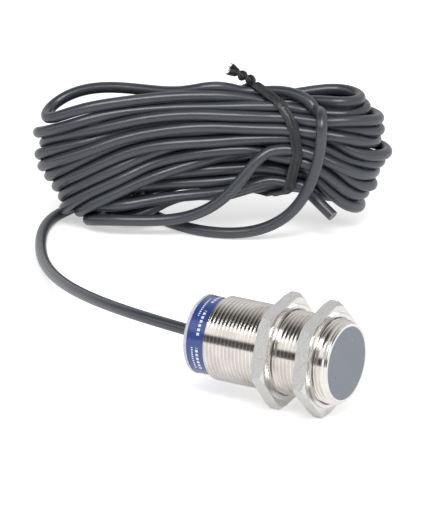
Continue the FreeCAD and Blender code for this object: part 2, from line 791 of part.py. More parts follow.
def squeeze_at_tie(p):
    """Draw the strands together inside the tie's oval."""
    for q in p[HELD:]:
        off = abs(q[0] - tie_plane_u(q[1]))
        if off < 14.0:
            dv = q[1] - COIL_V
            dz = q[2] - TIE_Z
            e = math.sqrt((dv / TIE_HALF_V) ** 2 + (dz / TIE_HALF_Z) ** 2)
            limit = 1.0 + max(off - 5.0, 0.0) * 0.015
            if limit < e < 1.4:
                k = 0.35 * (limit / e - 1.0)
                q[1] += k * dv
                q[2] += k * dz


def settle(points, gap, rounds):
    """Let the guide route settle: strands touch but do not cross, bends stay easy."""
    home = [tuple(q) for q in points]
    p = [list(q) for q in points]
    want = 2.0 * CABLE_R + 0.12
    skip = int(2.6 * want / gap) + 1
    tail = len(p) - 5
    pairs = []
    for turn in range(rounds):
        late = turn / rounds
        if turn % 8 == 0:
            pairs = near_pairs(p, want + 1.6, skip)
        pull = 0.02 * (1 - late)
        for i in range(HELD, len(p)):
            way = [home[i][m] - p[i][m] for m in range(3)]
            shift(p[i], way, 0.3 if i >= tail else pull)
        keep_smooth(p, gap, 0.30 if late < 0.75 else 0.10)
        keep_length(p, gap)
        keep_length(p, gap)
        squeeze_at_tie(p)
        keep_apart(p, pairs, want)
        keep_apart(p, pairs, want)
        for q in p[HELD:]:
            q[2] = max(q[2], LOW)
    return p


def cable_route():
    """Centre line of the whole cable in the sensor frame, and the same in the coil frame."""
    points, gap = even_points(route_guide(), STEP)
    start = [cap_exit(k) for k in range(STRAIGHT_STEPS)]
    coil = [list(q) for q in start] + settle(points, gap, 220)
    for k in (2, 1):
        coil[-k] = [2 * coil[-k - 1][m] - coil[-k - 2][m] for m in range(3)]
    c = math.cos(YAW)
    s = math.sin(YAW)
    world = [V(u * c - v * s, u * s + v * c, z) for u, v, z in coil]
    return world, coil


def biarc(p0, t0, p1, t1):
    """Two arcs that leave p0 along t0 and reach p1 along t1, meeting smoothly."""
    d = p1 - p0
    t = t0 + t1
    a = 2 * (1 - t0.dot(t1))
    b = 2 * d.dot(t)
    c = -d.dot(d)
    reach = -c / b if abs(a) < 1e-9 else (-b + math.sqrt(b * b - 4 * a * c)) / (2 * a)
    meet = (p0 + t0 * reach + p1 - t1 * reach) * 0.5
    return [arc_from(p0, t0, meet), arc_from(p1, t1 * -1, meet, True)]


def arc_from(start, way, end, backward=False):
    chord = end - start
    side = way.cross(chord)
    if side.Length < 1e-6 * chord.Length:
        return Part.makeLine(end, start) if backward else Part.makeLine(start, end)
    toward = side.normalize().cross(way)
    radius = chord.dot(chord) / (2 * chord.dot(toward))
    half = math.atan2(chord.dot(toward), chord.dot(way))
    middle = start + toward * (radius * (1 - math.cos(half))) + way * (radius * math.sin(half))
    if backward:
        return Part.Arc(end, middle, start).toShape()
    return Part.Arc(start, middle, end).toShape()


def route_wire(points):
    ways = []
    for i in range(len(points)):
        before = points[i] - points[i - 1] if i > 0 else None
        after = points[i + 1] - points[i] if i < len(points) - 1 else None
        if before is None or after is None:
            way = V(after if before is None else before)
        else:
            way = before * after.Length ** 2 + after * before.Length ** 2
        ways.append(way.normalize())
    edges = []
    for i in range(len(points) - 1):
        edges += biarc(points[i], ways[i], points[i + 1], ways[i + 1])
    return Part.Wire(edges), ways


def make_jacket(route, wires, stubs):
    path, ways = route_wire(route)
    ring = Part.Wire([Part.makeCircle(CABLE_R, route[0], ways[0])])
    body = feature("jacket_body", path.makePipeShell([ring], True, False))
    holes = feature("jacket_holes", Part.makeCompound(wires + stubs))
    return node(cut("cable_jacket", body, [holes]), "cable_jacket")


def end_stub(route, k, radius, length):
    """A short piece of wire k at the cut end, flush with the cut."""
    way = (route[-1] - route[-2]).normalize()
    side = way.cross(V(0, 0, 1)).normalize()
    up = side.cross(way)
    y, z = wire_spots()[k]
    place = route[-1] + side * y + up * z
    return Part.makeCylinder(radius, length, place, way * -1)


def make_wire(k, name, inner, stub, copper):
    """Insulated wire k: the piece at the board and the piece at the cut end."""
    body = feature(name + "_insulation", Part.makeCompound([inner, stub]))
    core = feature(name + "_bore", Part.makeCompound(copper))
    return node(cut(name, body, [core]), name)


def copper_parts(route, k):
    """Bare copper of wire k: under the solder, and inside the insulation at both ends."""
    start = wire_route(k)[0]
    radius = size("copper_r")
    pad = Part.makeCylinder(radius, 4.2, start + V(1.8, 0, 0), V(-1, 0, 0))
    return [pad, end_stub(route, k, radius, 3.0)]


def make_solder(copper, leads):
    """Round solder joints on the board, fitted round the copper they hold."""
    items = []
    spots = [(-40.9, pad_place(k), 1.0) for k in range(3)]
    spots += [(-12.15, side * size("lead_y"), 0.7) for side in (-1, 1)]
    for i, (x, y, radius) in enumerate(spots):
        ball = doc.addObject("Part::Sphere", "solder_ball%d" % i)
        ball.Radius = radius
        ball.Angle1 = 0
        ball.Placement.Base = V(x, y, 0)
        bind(ball, Placement__Base__z=TOP)
        items.append(ball)
    whole = group("solder_balls", items)
    tools = [feature("solder_copper", Part.makeCompound(copper)), leads]
    tool = group("solder_tools", tools)
    return node(cut("solder_joints", whole, [tool]), "solder_joints")


# ---------------------------------------------------------------- wire tie
def hull_of(points):
    """Outer corners of a set of (v, z) points, anticlockwise."""
    points = sorted(set(points))

    def half(seq):
        out = []
        for q in seq:
            while len(out) > 1:
                a = out[-2]
                b = out[-1]
                if (b[0] - a[0]) * (q[1] - a[1]) - (b[1] - a[1]) * (q[0] - a[0]) > 0:
                    break
                out.pop()
            out.append(q)
        return out[:-1]

    return half(points) + half(list(reversed(points)))


def tie_loop(coil):
    """Places and outward directions of the tie where it wraps the strands."""
    near = []
    for i in range(len(coil) - 1):
        for k in range(4):
            q = [mix(coil[i][m], coil[i + 1][m], k / 4) for m in range(3)]
            if abs(q[0] - tie_plane_u(q[1])) < 4.5 and abs(q[1] - COIL_V) < 19:
                near.append((q[1], q[2]))
    corners = hull_of(near)
    arcs = []
    for i, corner in enumerate(corners):
        before = corners[i - 1]
        after = corners[(i + 1) % len(corners)]
        a0 = math.atan2(corner[1] - before[1], corner[0] - before[0]) - math.pi / 2
        a1 = math.atan2(after[1] - corner[1], after[0] - corner[0]) - math.pi / 2
        while a1 < a0:
            a1 += 2 * math.pi
        while a1 < KNOT_ANGLE:
            a0 += 2 * math.pi
            a1 += 2 * math.pi
        arcs.append((a0, a1, corner))
    arcs.sort()
    a0, a1, corner = arcs[0]
    arcs[0] = (max(a0, KNOT_ANGLE + 0.04), a1, corner)
    arcs.append((a0 + 2 * math.pi, KNOT_ANGLE + 2 * math.pi - 0.04, corner))
    reach = CABLE_R + TIE_GAP
    loop = []
    for a0, a1, corner in arcs:
        for share in (0.12, 0.88):
            a = mix(a0, a1, share)
            v = corner[0] + reach * math.cos(a)
            z = corner[1] + reach * math.sin(a)
            if loop:
                ov, oz, oa = loop[-1]
                gap = math.hypot(v - ov, z - oz)
                if gap < 0.35:
                    continue
                fill = int(gap / 2.5)
                for k in range(1, fill + 1):
                    m = k / (fill + 1)
                    loop.append((mix(ov, v, m), mix(oz, z, m), mix(oa, a, m)))
            loop.append((v, z, a))
    return loop


def coil_to_sensor(u, v, z):
    c = math.cos(YAW)
    s = math.sin(YAW)
    return V(u * c - v * s, u * s + v * c, z)


STRIP_HALF = 1.9
TIE_GAP = 0.25
KNOT_ANGLE = math.radians(84)
STRIP = [(-1.0, 0.0), (-1.0, 0.55), (-0.8, 0.6), (-0.68, 1.0), (-0.48, 1.0), (-0.36, 0.6),
         (0.36, 0.6), (0.48, 1.0), (0.68, 1.0), (0.8, 0.6), (1.0, 0.55), (1.0, 0.0)]


def strip_section(place, out, across):
    """Outline of the flat tie with its two raised ribs."""
    points = [place + across * (STRIP_HALF * a) + out * b for a, b in STRIP]
    return Part.makePolygon(points + [points[0]])


def tie_band(coil):
    """The band of the tie round the strands, and the place where its ends are twisted."""
    places = []
    for v, z, angle in tie_loop(coil):
        place = coil_to_sensor(tie_plane_u(v), v, z)
        out = coil_to_sensor(0.0, math.cos(angle), math.sin(angle))
        places.append((place, out))
    sections = []
    for i, (place, out) in enumerate(places):
        ahead = places[min(i + 1, len(places) - 1)][0]
        along = ahead - places[max(i - 1, 0)][0]
        across = along.cross(out).normalize()
        sections.append(strip_section(place, out, across))
    return Part.makeLoft(sections, True, False), places[0][0]


def tie_tail(root, side):
    """One twisted end of the tie; side is +1 or -1 for the two ends wound together."""
    ahead = coil_to_sensor(-0.87, 0.0, 0.49).normalize()
    level = coil_to_sensor(0.0, 1.0, 0.0)
    upright = level.cross(ahead) * -1
    if upright.z < 0:
        upright = upright * -1
    sections = []
    ends = []
    count = 14
    for k in range(count + 1):
        t = k / count
        turned = 2 * math.pi * 1.15 * min(t / 0.72, 1.0)
        out = (upright * math.cos(turned) + level * math.sin(turned)) * side
        across = ahead.cross(out)
        flare = 2.2 * max(t - 0.72, 0.0) / 0.28
        place = root + V(0, 0, 1.15) + ahead * (TAIL_LEN * t) + out * (0.03 + 0.5 * flare)
        sections.append(strip_section(place, out, across))
        ends = [place + across * (STRIP_HALF * 0.58 * q) + out * 0.45 for q in (-1, 1)]
    tail = Part.makeLoft(sections, True, False)
    return tail, ends, ahead + out * 0.43


TAIL_LEN = 10.5


def make_tie(coil):
    band, root = tie_band(coil)
    pieces = [band]
    wires = []
    for side in (1, -1):
        tail, ends, way = tie_tail(root, side)
        pieces.append(tail)
        for place in ends:
            wires.append(Part.makeCylinder(0.22, 2.2, place - way.normalize() * 1.4, way))
    body = feature("tie_body", pieces[0].multiFuse(pieces[1:]))
    cores = feature("tie_cores", Part.makeCompound(wires))
    node(cut("wire_tie", body, [cores]), "wire_tie")
    return node(feature("tie_wire_cores", Part.makeCompound(wires)), "tie_wire_cores")


# ---------------------------------------------------------------- the whole sensor
def build():
    make_barrel()
    make_face_cap()
    make_core()
    make_bobbin()
    make_winding()
    coil_leads = make_coil_leads()
    make_carrier()
    make_board()
    make_oscillator()
    make_transistor()
    make_resistors()
    make_capacitors()
    make_tantalum()
    make_diode()
    make_leds()
    make_end_cap()
    make_label()
    route, coil = cable_route()
    inner = [inner_wire(k) for k in range(3)]
    stubs = [end_stub(route, k, size("core_wire_r"), 3.0) for k in range(3)]
    copper = [copper_parts(route, k) for k in range(3)]
    make_plug(inner)
    make_crimp()
    make_jacket(route, inner, stubs)
    for k, name in enumerate(("wire_brown", "wire_black", "wire_blue")):
        make_wire(k, name, inner[k], stubs[k], copper[k])
    every = [piece for pair in copper for piece in pair]
    node(feature("copper_cores", Part.makeCompound(every)), "copper_cores")
    make_solder([pair[0] for pair in copper], coil_leads)
    make_tie(coil)
    for side, corner in (("front", 74.5), ("rear", 70.0)):
        make_nut(side, corner)
        make_washer(side)


build()
doc.recompute()

os.makedirs("parts", exist_ok=True)
problems = []
for item in doc.Objects:
    if "Invalid" in item.State or "Error" in item.State:
        problems.append(item.Name + " state " + str(item.State))
for item in NODES:
    shape = item.Shape
    if shape.isNull() or not shape.isValid() or not shape.Solids:
        problems.append(item.Label + " has no valid solid")
        continue
    shape.exportStep("parts/" + item.Label + ".step")
    print("%-20s solids %3d  faces %5d  volume %10.2f" % (
        item.Label, len(shape.Solids), len(shape.Faces), shape.Volume))
if problems:
    raise RuntimeError("; ".join(problems))
print("nodes", len(NODES))
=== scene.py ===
import json
import math

import bpy
from mathutils import Matrix, Vector


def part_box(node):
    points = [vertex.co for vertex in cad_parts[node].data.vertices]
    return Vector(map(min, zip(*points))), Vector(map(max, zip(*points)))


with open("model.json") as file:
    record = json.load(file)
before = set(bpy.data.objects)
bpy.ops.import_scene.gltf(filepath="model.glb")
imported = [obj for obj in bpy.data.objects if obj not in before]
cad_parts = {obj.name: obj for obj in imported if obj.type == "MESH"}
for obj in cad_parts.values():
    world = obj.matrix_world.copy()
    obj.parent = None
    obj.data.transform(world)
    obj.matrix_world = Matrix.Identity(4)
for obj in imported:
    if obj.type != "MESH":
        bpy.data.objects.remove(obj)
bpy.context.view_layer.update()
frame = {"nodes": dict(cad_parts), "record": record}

# Looks of the inductive proximity sensor and its coiled cable.
# The frame is in metres, with the sensor axis along X and +Z up. Sizes named here are in
# millimetres, and brought to metres with MM.
MM = 0.001


NODES = frame["nodes"]
SCENE = bpy.context.scene


# ---------------------------------------------------------------- node helpers
class Graph:
    """A small helper for writing shader nodes as nested calls."""

    def __init__(self, tree):
        self.tree = tree
        tree.nodes.clear()

    def new(self, kind):
        return self.tree.nodes.new(kind)

    def add(self, kind, inputs=None, out=0, **settings):
        node = self.new(kind)
        for key, value in settings.items():
            setattr(node, key, value)
        for key, value in (inputs or {}).items():
            self.put(node.inputs[key], value)
        return node.outputs[out]

    def put(self, socket, value):
        if isinstance(value, bpy.types.NodeSocket):
            self.tree.links.new(value, socket)
        else:
            socket.default_value = value

    def math(self, operation, a, b=0.0, clamp=False):
        return self.add("ShaderNodeMath", {0: a, 1: b}, operation=operation, use_clamp=clamp)

    def times(self, a, b):
        return self.math("MULTIPLY", a, b)

    def swing(self, value, amount):
        """A value from 0 to 1, turned into a change of up to half the amount either way."""
        return self.times(self.math("SUBTRACT", value, 0.5), amount)

    def ramp(self, factor, stops):
        """Straight steps between stops of (position, grey)."""
        node = self.new("ShaderNodeValToRGB")
        self.put(node.inputs[0], factor)
        band = node.color_ramp
        band.interpolation = "LINEAR"
        while len(band.elements) < len(stops):
            band.elements.new(1.0)
        for element, (place, grey) in zip(band.elements, stops):
            element.position = place
        for element, (place, grey) in zip(band.elements, stops):
            element.color = (grey, grey, grey, 1.0)
        return node.outputs[0]

    def fade(self, factor, start, end):
        """0 up to start, 1 from end."""
        return self.ramp(factor, [(start, 0.0), (end, 1.0)])

    def mix(self, factor, a, b):
        node = self.new("ShaderNodeMix")
        node.data_type = "RGBA"
        self.put(node.inputs[0], factor)
        self.put(node.inputs[6], a if isinstance(a, bpy.types.NodeSocket) else rgba(a))
        self.put(node.inputs[7], b if isinstance(b, bpy.types.NodeSocket) else rgba(b))
        return node.outputs[2]

    def place(self):
        """Position in object space in millimetres: rides with the body at every pose."""
        at = self.add("ShaderNodeTexCoord", out="Object")
        return self.add("ShaderNodeVectorMath", {0: at, 3: 1.0 / MM}, operation="SCALE")

    def split(self, vector):
        node = self.new("ShaderNodeSeparateXYZ")
        self.put(node.inputs[0], vector)
        return node.outputs[0], node.outputs[1], node.outputs[2]

    def noise(self, at, scale, detail=3.0, rough=0.55, stretch=(1.0, 1.0, 1.0)):
        """Cloudy pattern: scale is in cells per millimetre."""
        at = self.add("ShaderNodeMapping", {0: at, 3: stretch})
        return self.add("ShaderNodeTexNoise", {"Vector": at, "Scale": scale, "Detail": detail,
                                               "Roughness": rough})

    def spots(self, at, scale, size):
        """1 in small round spots, 0 elsewhere."""
        near = self.add("ShaderNodeTexVoronoi", {"Vector": at, "Scale": scale, "Randomness": 1.0})
        return self.math("LESS_THAN", near, size)

    def rows(self, value, pitch, share, shift=0.0):
        """1 for a share of each pitch along the value, 0 for the rest."""
        step = self.math("FRACT", self.math("ADD", self.math("DIVIDE", value, pitch), shift))
        return self.math("LESS_THAN", step, share)

    def between(self, value, start, end):
        inside = self.math("GREATER_THAN", value, start)
        return self.times(inside, self.math("LESS_THAN", value, end))

    def bump(self, height, depth, strength=1.0, normal=None):
        """depth in millimetres."""
        links = {"Height": height, "Distance": depth * MM, "Strength": strength}
        if normal is not None:
            links["Normal"] = normal
        return self.add("ShaderNodeBump", links)

    def round_edges(self, radius):
        return self.add("ShaderNodeBevel", {"Radius": radius * MM}, samples=6)

    def surface(self, **inputs):
        names = {"color": "Base Color", "metal": "Metallic", "rough": "Roughness", "normal": "Normal",
                 "coat": "Coat Weight", "coat_rough": "Coat Roughness", "shine": "Specular IOR Level",
                 "clear": "Transmission Weight", "ior": "IOR", "soft": "Subsurface Weight",
                 "glow": "Emission Strength", "glow_color": "Emission Color"}
        node = self.new("ShaderNodeBsdfPrincipled")
        for key, value in inputs.items():
            if key in ("color", "glow_color") and not isinstance(value, bpy.types.NodeSocket):
                value = rgba(value)
            self.put(node.inputs[names[key]], value)
        end = self.new("ShaderNodeOutputMaterial")
        self.tree.links.new(node.outputs[0], end.inputs[0])


def rgba(tone):
    return (tone[0], tone[1], tone[2], 1.0)


def darker(tone, share):
    return tuple(c * share for c in tone)


def material(name):
    mat = bpy.data.materials.new(name)
    mat.use_nodes = True
    return mat, Graph(mat.node_tree)


# ---------------------------------------------------------------- metals
def worn_metal(name, base, rough, grain, grain_depth, edge=0.12, stain=None, scratch=0.02):
    """Plated metal: cloudy tarnish, fine grain, drawn scratches and rounded edges."""
    mat, g = material(name)
    at = g.place()
    cloud = g.noise(at, 0.16, 4.0)
    fine = g.noise(at, grain, 3.0, 0.6)
    drawn = g.noise(at, 1.6, 3.0, 0.7, stretch=(14.0, 0.7, 0.7))
    stain = stain or darker(base, 0.86)
    color = g.mix(g.fade(cloud, 0.35, 0.75), base, stain)
    roughness = g.math("ADD", rough, g.swing(fine, rough * 0.9))
    roughness = g.math("ADD", roughness, g.times(cloud, 0.04), clamp=True)
    normal = g.round_edges(edge)
    normal = g.bump(fine, grain_depth, 1.0, normal)
    normal = g.bump(drawn, scratch, 0.35, normal)
    g.surface(color=color, metal=1.0, rough=roughness, normal=normal)
    return mat


def barrel_metal():
    return worn_metal("nickel_barrel", (0.84, 0.815, 0.79), rough=0.075, grain=1.2, grain_depth=0.001,
                      edge=0.14, stain=(0.74, 0.70, 0.67), scratch=0.003)


# The flats of a nut are its outside faces beyond this radius, found by where they look.
FLAT_RADIUS = 17.7
FLAT_BLEND = 0.2


def nut_flats(g, at):
    """1 on the six side faces of a nut, 0 on its turned faces and in its thread."""
    face = g.add("ShaderNodeNewGeometry", out="True Normal")
    turned = g.add("ShaderNodeVectorTransform", {0: face}, vector_type="NORMAL",
                   convert_from="WORLD", convert_to="OBJECT")
    axial = g.math("ABSOLUTE", g.split(turned)[0])
    x, y, z = g.split(at)
    radius = g.math("SQRT", g.math("ADD", g.times(y, y), g.times(z, z)))
    scale = 1.0 / 20.0
    outside = g.fade(g.times(radius, scale), FLAT_RADIUS * scale, (FLAT_RADIUS + FLAT_BLEND) * scale)
    return g.times(outside, g.ramp(axial, [(0.1, 1.0), (0.25, 0.0)]))


def nut_metal():
    """Nickel over a machined blank: bright faces, sand-rough flats."""
    mat, g = material("nickel_nut")
    at = g.place()
    flats = nut_flats(g, at)
    cloud = g.noise(at, 0.18, 4.0)
    grit = g.noise(at, 2.6, 4.0, 0.75)
    pits = g.noise(at, 6.5, 2.0, 0.7)
    bright = g.mix(g.fade(cloud, 0.35, 0.75), (0.78, 0.77, 0.75), (0.68, 0.665, 0.645))
    dull = g.mix(g.fade(grit, 0.32, 0.66), (0.34, 0.335, 0.33), (0.74, 0.735, 0.725))
    rough = g.math("ADD", 0.20, g.times(flats, 0.22))
    rough = g.math("ADD", rough, g.swing(pits, 0.14), clamp=True)
    height = g.times(grit, g.math("ADD", 0.04, flats))
    normal = g.bump(height, 0.05, 1.0, g.round_edges(0.18))
    normal = g.bump(pits, 0.012, 0.6, normal)
    metal = g.math("SUBTRACT", 1.0, g.times(flats, 0.6))
    g.surface(color=g.mix(flats, bright, dull), metal=metal, rough=rough, normal=normal)
    return mat


def washer_metal():
    return worn_metal("nickel_washer", (0.84, 0.82, 0.80), rough=0.22, grain=4.0, grain_depth=0.01,
                      edge=0.05)


def bare_wire():
    return worn_metal("copper_strands", (0.80, 0.42, 0.26), rough=0.28, grain=5.0, grain_depth=0.01,
                      edge=0.02, stain=(0.55, 0.27, 0.17))


def crimp_metal():
    return worn_metal("tinned_crimp", (0.72, 0.72, 0.73), rough=0.30, grain=4.0, grain_depth=0.01)


def tie_wire():
    return worn_metal("tie_wire", (0.52, 0.51, 0.50), rough=0.35, grain=6.0, grain_depth=0.01,
                      edge=0.02, stain=(0.30, 0.24, 0.20))


def solder():
    return worn_metal("solder_fillets", (0.70, 0.70, 0.71), rough=0.24, grain=3.0, grain_depth=0.015,
                      edge=0.1)


WINDING_PITCH = 0.22


def wound_copper():
    """Enamelled magnet wire: fine turns round the axis."""
    mat, g = material("enamelled_winding")
    at = g.place()
    x, y, z = g.split(at)
    turns = g.math("SINE", g.times(x, 2.0 * math.pi / WINDING_PITCH))
    color = g.mix(g.noise(at, 0.9, 3.0), (0.62, 0.27, 0.12), (0.42, 0.15, 0.07))
    g.surface(color=color, metal=0.85, rough=0.28, coat=0.5, normal=g.bump(turns, 0.05))
    return mat


# ---------------------------------------------------------------- plastics and ceramics
def moulded(name, base, tint=None, rough=0.42, grain=2.2, depth=0.012, shine=0.5, edge=0.12,
            soft=0.0):
    """Moulded plastic: slight colour drift, spark texture, softened edges."""
    mat, g = material(name)
    at = g.place()
    cloud = g.noise(at, 0.12, 3.0)
    fine = g.noise(at, grain, 3.0, 0.6)
    color = g.mix(g.fade(cloud, 0.3, 0.7), base, tint or darker(base, 0.82))
    roughness = g.math("ADD", rough, g.swing(fine, 0.18), clamp=True)
    normal = g.bump(fine, depth, 1.0, g.round_edges(edge))
    g.surface(color=color, rough=roughness, normal=normal, shine=shine, soft=soft)
    return mat


def face_plastic():
    """The flat grey sensing face: fine sparkle grain, a few pale specks and hairline scuffs."""
    mat, g = material("face_plastic")
    at = g.place()
    cloud = g.noise(at, 0.07, 3.0)
    grain = g.noise(at, 3.4, 4.0, 0.7)
    scuff = g.noise(at, 0.7, 2.0, 0.6, stretch=(1.0, 9.0, 0.5))
    specks = g.spots(at, 0.34, 0.075)
    color = g.mix(g.fade(cloud, 0.3, 0.7), (0.163, 0.178, 0.208), (0.176, 0.192, 0.223))
    color = g.mix(g.ramp(grain, [(0.42, 0.0), (0.8, 0.45)]), color, (0.24, 0.265, 0.295))
    color = g.mix(g.times(specks, 0.75), color, (0.62, 0.66, 0.70))
    rough = g.math("ADD", 0.46, g.times(g.fade(scuff, 0.6, 0.75), 0.14))
    normal = g.bump(grain, 0.010, 1.0, g.round_edges(0.15))
    g.surface(color=color, rough=rough, normal=normal, shine=0.35)
    return mat


def cable_pvc():
    """Soft dark grey PVC: satin, slightly wavy skin, dust and rub marks."""
    mat, g = material("cable_pvc")
    at = g.place()
    cloud = g.noise(at, 0.05, 4.0)
    skin = g.noise(at, 0.7, 3.0, 0.6)
    wave = g.noise(at, 0.16, 2.0)
    rub = g.noise(at, 0.45, 4.0, 0.7)
    rubbed = g.times(g.fade(rub, 0.62, 0.80), 0.3)
    color = g.mix(g.fade(cloud, 0.35, 0.7), (0.030, 0.034, 0.043), (0.040, 0.045, 0.056))
    color = g.mix(rubbed, color, (0.060, 0.064, 0.072))
    rough = g.math("ADD", 0.31, g.swing(skin, 0.05))
    rough = g.math("ADD", rough, g.times(g.fade(rub, 0.55, 0.75), 0.1), clamp=True)
    normal = g.bump(wave, 0.06, 0.6)
    normal = g.bump(skin, 0.004, 0.5, normal)
    g.surface(color=color, rough=rough, normal=normal, shine=0.8)
    return mat


def tie_plastic():
    return moulded("tie_plastic", (0.020, 0.021, 0.024), (0.032, 0.033, 0.037), rough=0.36, grain=1.8,
                   depth=0.03, edge=0.08)


def clear_plastic():
    """Milky clear cap: lets light through, frosted."""
    mat, g = material("clear_plastic")
    at = g.place()
    cloud = g.noise(at, 0.3, 3.0)
    fine = g.noise(at, 2.0, 3.0)
    color = g.mix(cloud, (0.86, 0.89, 0.95), (0.76, 0.80, 0.90))
    normal = g.bump(fine, 0.012, 1.0, g.round_edges(0.15))
    g.surface(color=color, rough=0.22, clear=0.45, ior=1.49, normal=normal)
    return mat


LABEL_RADIUS = 13.85


def label_ink(g, at):
    """Plain pale bars in two rows round the band, with gaps: a row of wide ones, one of fine ones."""
    x, y, z = g.split(at)
    low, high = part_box("label_band")
    start, end = low[0] / MM, high[0] / MM
    across = g.math("DIVIDE", g.math("SUBTRACT", x, start), end - start)
    turn = g.math("ARCTAN2", z, g.times(y, -1.0))
    along = g.times(turn, LABEL_RADIUS)
    wide = g.times(g.between(across, 0.56, 0.72), g.rows(along, 1.55, 0.62, 0.1))
    wide_gaps = g.math("GREATER_THAN", g.math("FRACT", g.math("DIVIDE", along, 14.0)), 0.28)
    fine = g.times(g.between(across, 0.30, 0.40), g.rows(along, 0.9, 0.55, 0.4))
    fine_gaps = g.math("GREATER_THAN", g.math("FRACT", g.math("DIVIDE", along, 21.0)), 0.55)
    return g.math("MAXIMUM", g.times(wide, wide_gaps), g.times(fine, fine_gaps))


def label_film():
    """Blue printed band. Its print is plain pale bars, no lettering."""
    mat, g = material("label_film")
    at = g.place()
    ink = label_ink(g, at)
    cloud = g.noise(at, 0.22, 3.0)
    worn = g.ramp(g.noise(at, 1.8, 4.0, 0.7), [(0.36, 0.45), (0.5, 1.0)])
    blue = g.mix(cloud, (0.020, 0.046, 0.185), (0.030, 0.064, 0.235))
    color = g.mix(g.times(ink, worn), blue, (0.70, 0.74, 0.82))
    normal = g.bump(g.noise(at, 1.4, 3.0), 0.02, 0.7)
    normal = g.bump(ink, 0.02, 0.6, normal)
    g.surface(color=color, rough=0.24, normal=normal, shine=0.6, coat=0.35, coat_rough=0.12)
    return mat


def board_mask():
    """Circuit board: green mask with raised copper tracks under it."""
    mat, g = material("board_mask")
    at = g.place()
    x, y, z = g.split(at)
    tracks = g.math("MAXIMUM", g.rows(y, 1.3, 0.24), g.rows(x, 3.9, 0.10))
    color = g.mix(g.noise(at, 2.8, 3.0), (0.012, 0.115, 0.045), (0.020, 0.150, 0.060))
    color = g.mix(g.times(tracks, 0.6), color, (0.045, 0.26, 0.10))
    normal = g.bump(tracks, 0.03, 0.8, g.round_edges(0.05))
    g.surface(color=color, rough=0.30, normal=normal, coat=0.3)
    return mat


def resin():
    """Cast resin: cloudy tan with small dents of bubbles."""
    mat, g = material("potting_resin")
    at = g.place()
    color = g.mix(g.noise(at, 0.25, 4.0), (0.50, 0.46, 0.37), (0.38, 0.34, 0.27))
    bubbles = g.spots(at, 0.9, 0.12)
    normal = g.bump(bubbles, -0.05, 0.8)
    g.surface(color=color, rough=0.25, clear=0.15, normal=normal)
    return mat


def amber_lens():
    mat, g = material("amber_lens")
    at = g.place()
    color = g.mix(g.noise(at, 1.5, 2.0), (0.95, 0.62, 0.12), (0.85, 0.45, 0.06))
    g.surface(color=color, rough=0.15, clear=0.4, ior=1.5, normal=g.round_edges(0.08), coat=0.4)
    return mat


def ferrite():
    return moulded("ferrite", (0.055, 0.055, 0.060), (0.085, 0.083, 0.085), rough=0.62, grain=3.2,
                   depth=0.035, shine=0.4)


def spool_plastic():
    return moulded("spool_plastic", (0.62, 0.60, 0.53), soft=0.05)


def carrier_plastic():
    return moulded("carrier_plastic", (0.030, 0.030, 0.034))


def chip_black():
    return moulded("chip_black", (0.018, 0.018, 0.020), rough=0.5, grain=5.0, depth=0.02, edge=0.05)


def ceramic():
    return moulded("ceramic", (0.42, 0.33, 0.22), rough=0.35, grain=4.0, depth=0.01, edge=0.05)


def resistor():
    return moulded("resistor", (0.03, 0.03, 0.034), rough=0.3, grain=4.0, depth=0.01, edge=0.05)


def tantalum():
    return moulded("tantalum", (0.72, 0.42, 0.06), rough=0.38, grain=3.0, depth=0.02, edge=0.06)


def wire_skin(name, base):
    return moulded(name, base, rough=0.4, grain=3.0, depth=0.01)


def wire_brown():
    return wire_skin("wire_brown", (0.15, 0.055, 0.025))


def wire_black():
    return wire_skin("wire_black", (0.018, 0.018, 0.019))


def wire_blue():
    return wire_skin("wire_blue", (0.020, 0.075, 0.33))


# The look of each material slot of the record, and of the nodes that share a slot but not a look.
LOOKS = {
    "face_plastic": face_plastic,
    "ferrite": ferrite,
    "spool_plastic": spool_plastic,
    "copper": bare_wire,
    "carrier_plastic": carrier_plastic,
    "board": board_mask,
    "chip_black": chip_black,
    "ceramic": ceramic,
    "resistor": resistor,
    "tantalum": tantalum,
    "led": amber_lens,
    "solder": solder,
    "resin": resin,
    "clear_plastic": clear_plastic,
    "label_blue": label_film,
    "crimp": crimp_metal,
    "cable_pvc": cable_pvc,
    "wire_brown": wire_brown,
    "wire_black": wire_black,
    "wire_blue": wire_blue,
    "tie_plastic": tie_plastic,
    "tie_steel": tie_wire,
}
OWN_LOOKS = {
    "housing_barrel": barrel_metal,
    "front_nut": nut_metal,
    "rear_nut": nut_metal,
    "front_lock_washer": washer_metal,
    "rear_lock_washer": washer_metal,
    "coil_winding": wound_copper,
}
MADE = {}


def look(maker):
    if maker not in MADE:
        MADE[maker] = maker()
    return MADE[maker]


def dress_nodes():
    slots = {part["node"]: part["material_slot"] for part in frame["record"]["subparts"]}
    for name, obj in NODES.items():
        maker = OWN_LOOKS.get(name) or LOOKS[slots[name]]
        for holder in obj.material_slots:
            holder.material = look(maker)
        if not obj.material_slots:
            obj.data.materials.append(look(maker))


# ---------------------------------------------------------------- smooth shading of the CAD meshes
SHARP_ANGLE = 24
BAR_ANGLE = 60
ROUND_BARS = ("cable_jacket", "wire_tie", "tie_wire_cores", "coil_leads", "copper_cores")
WELD_GAP = 0.002


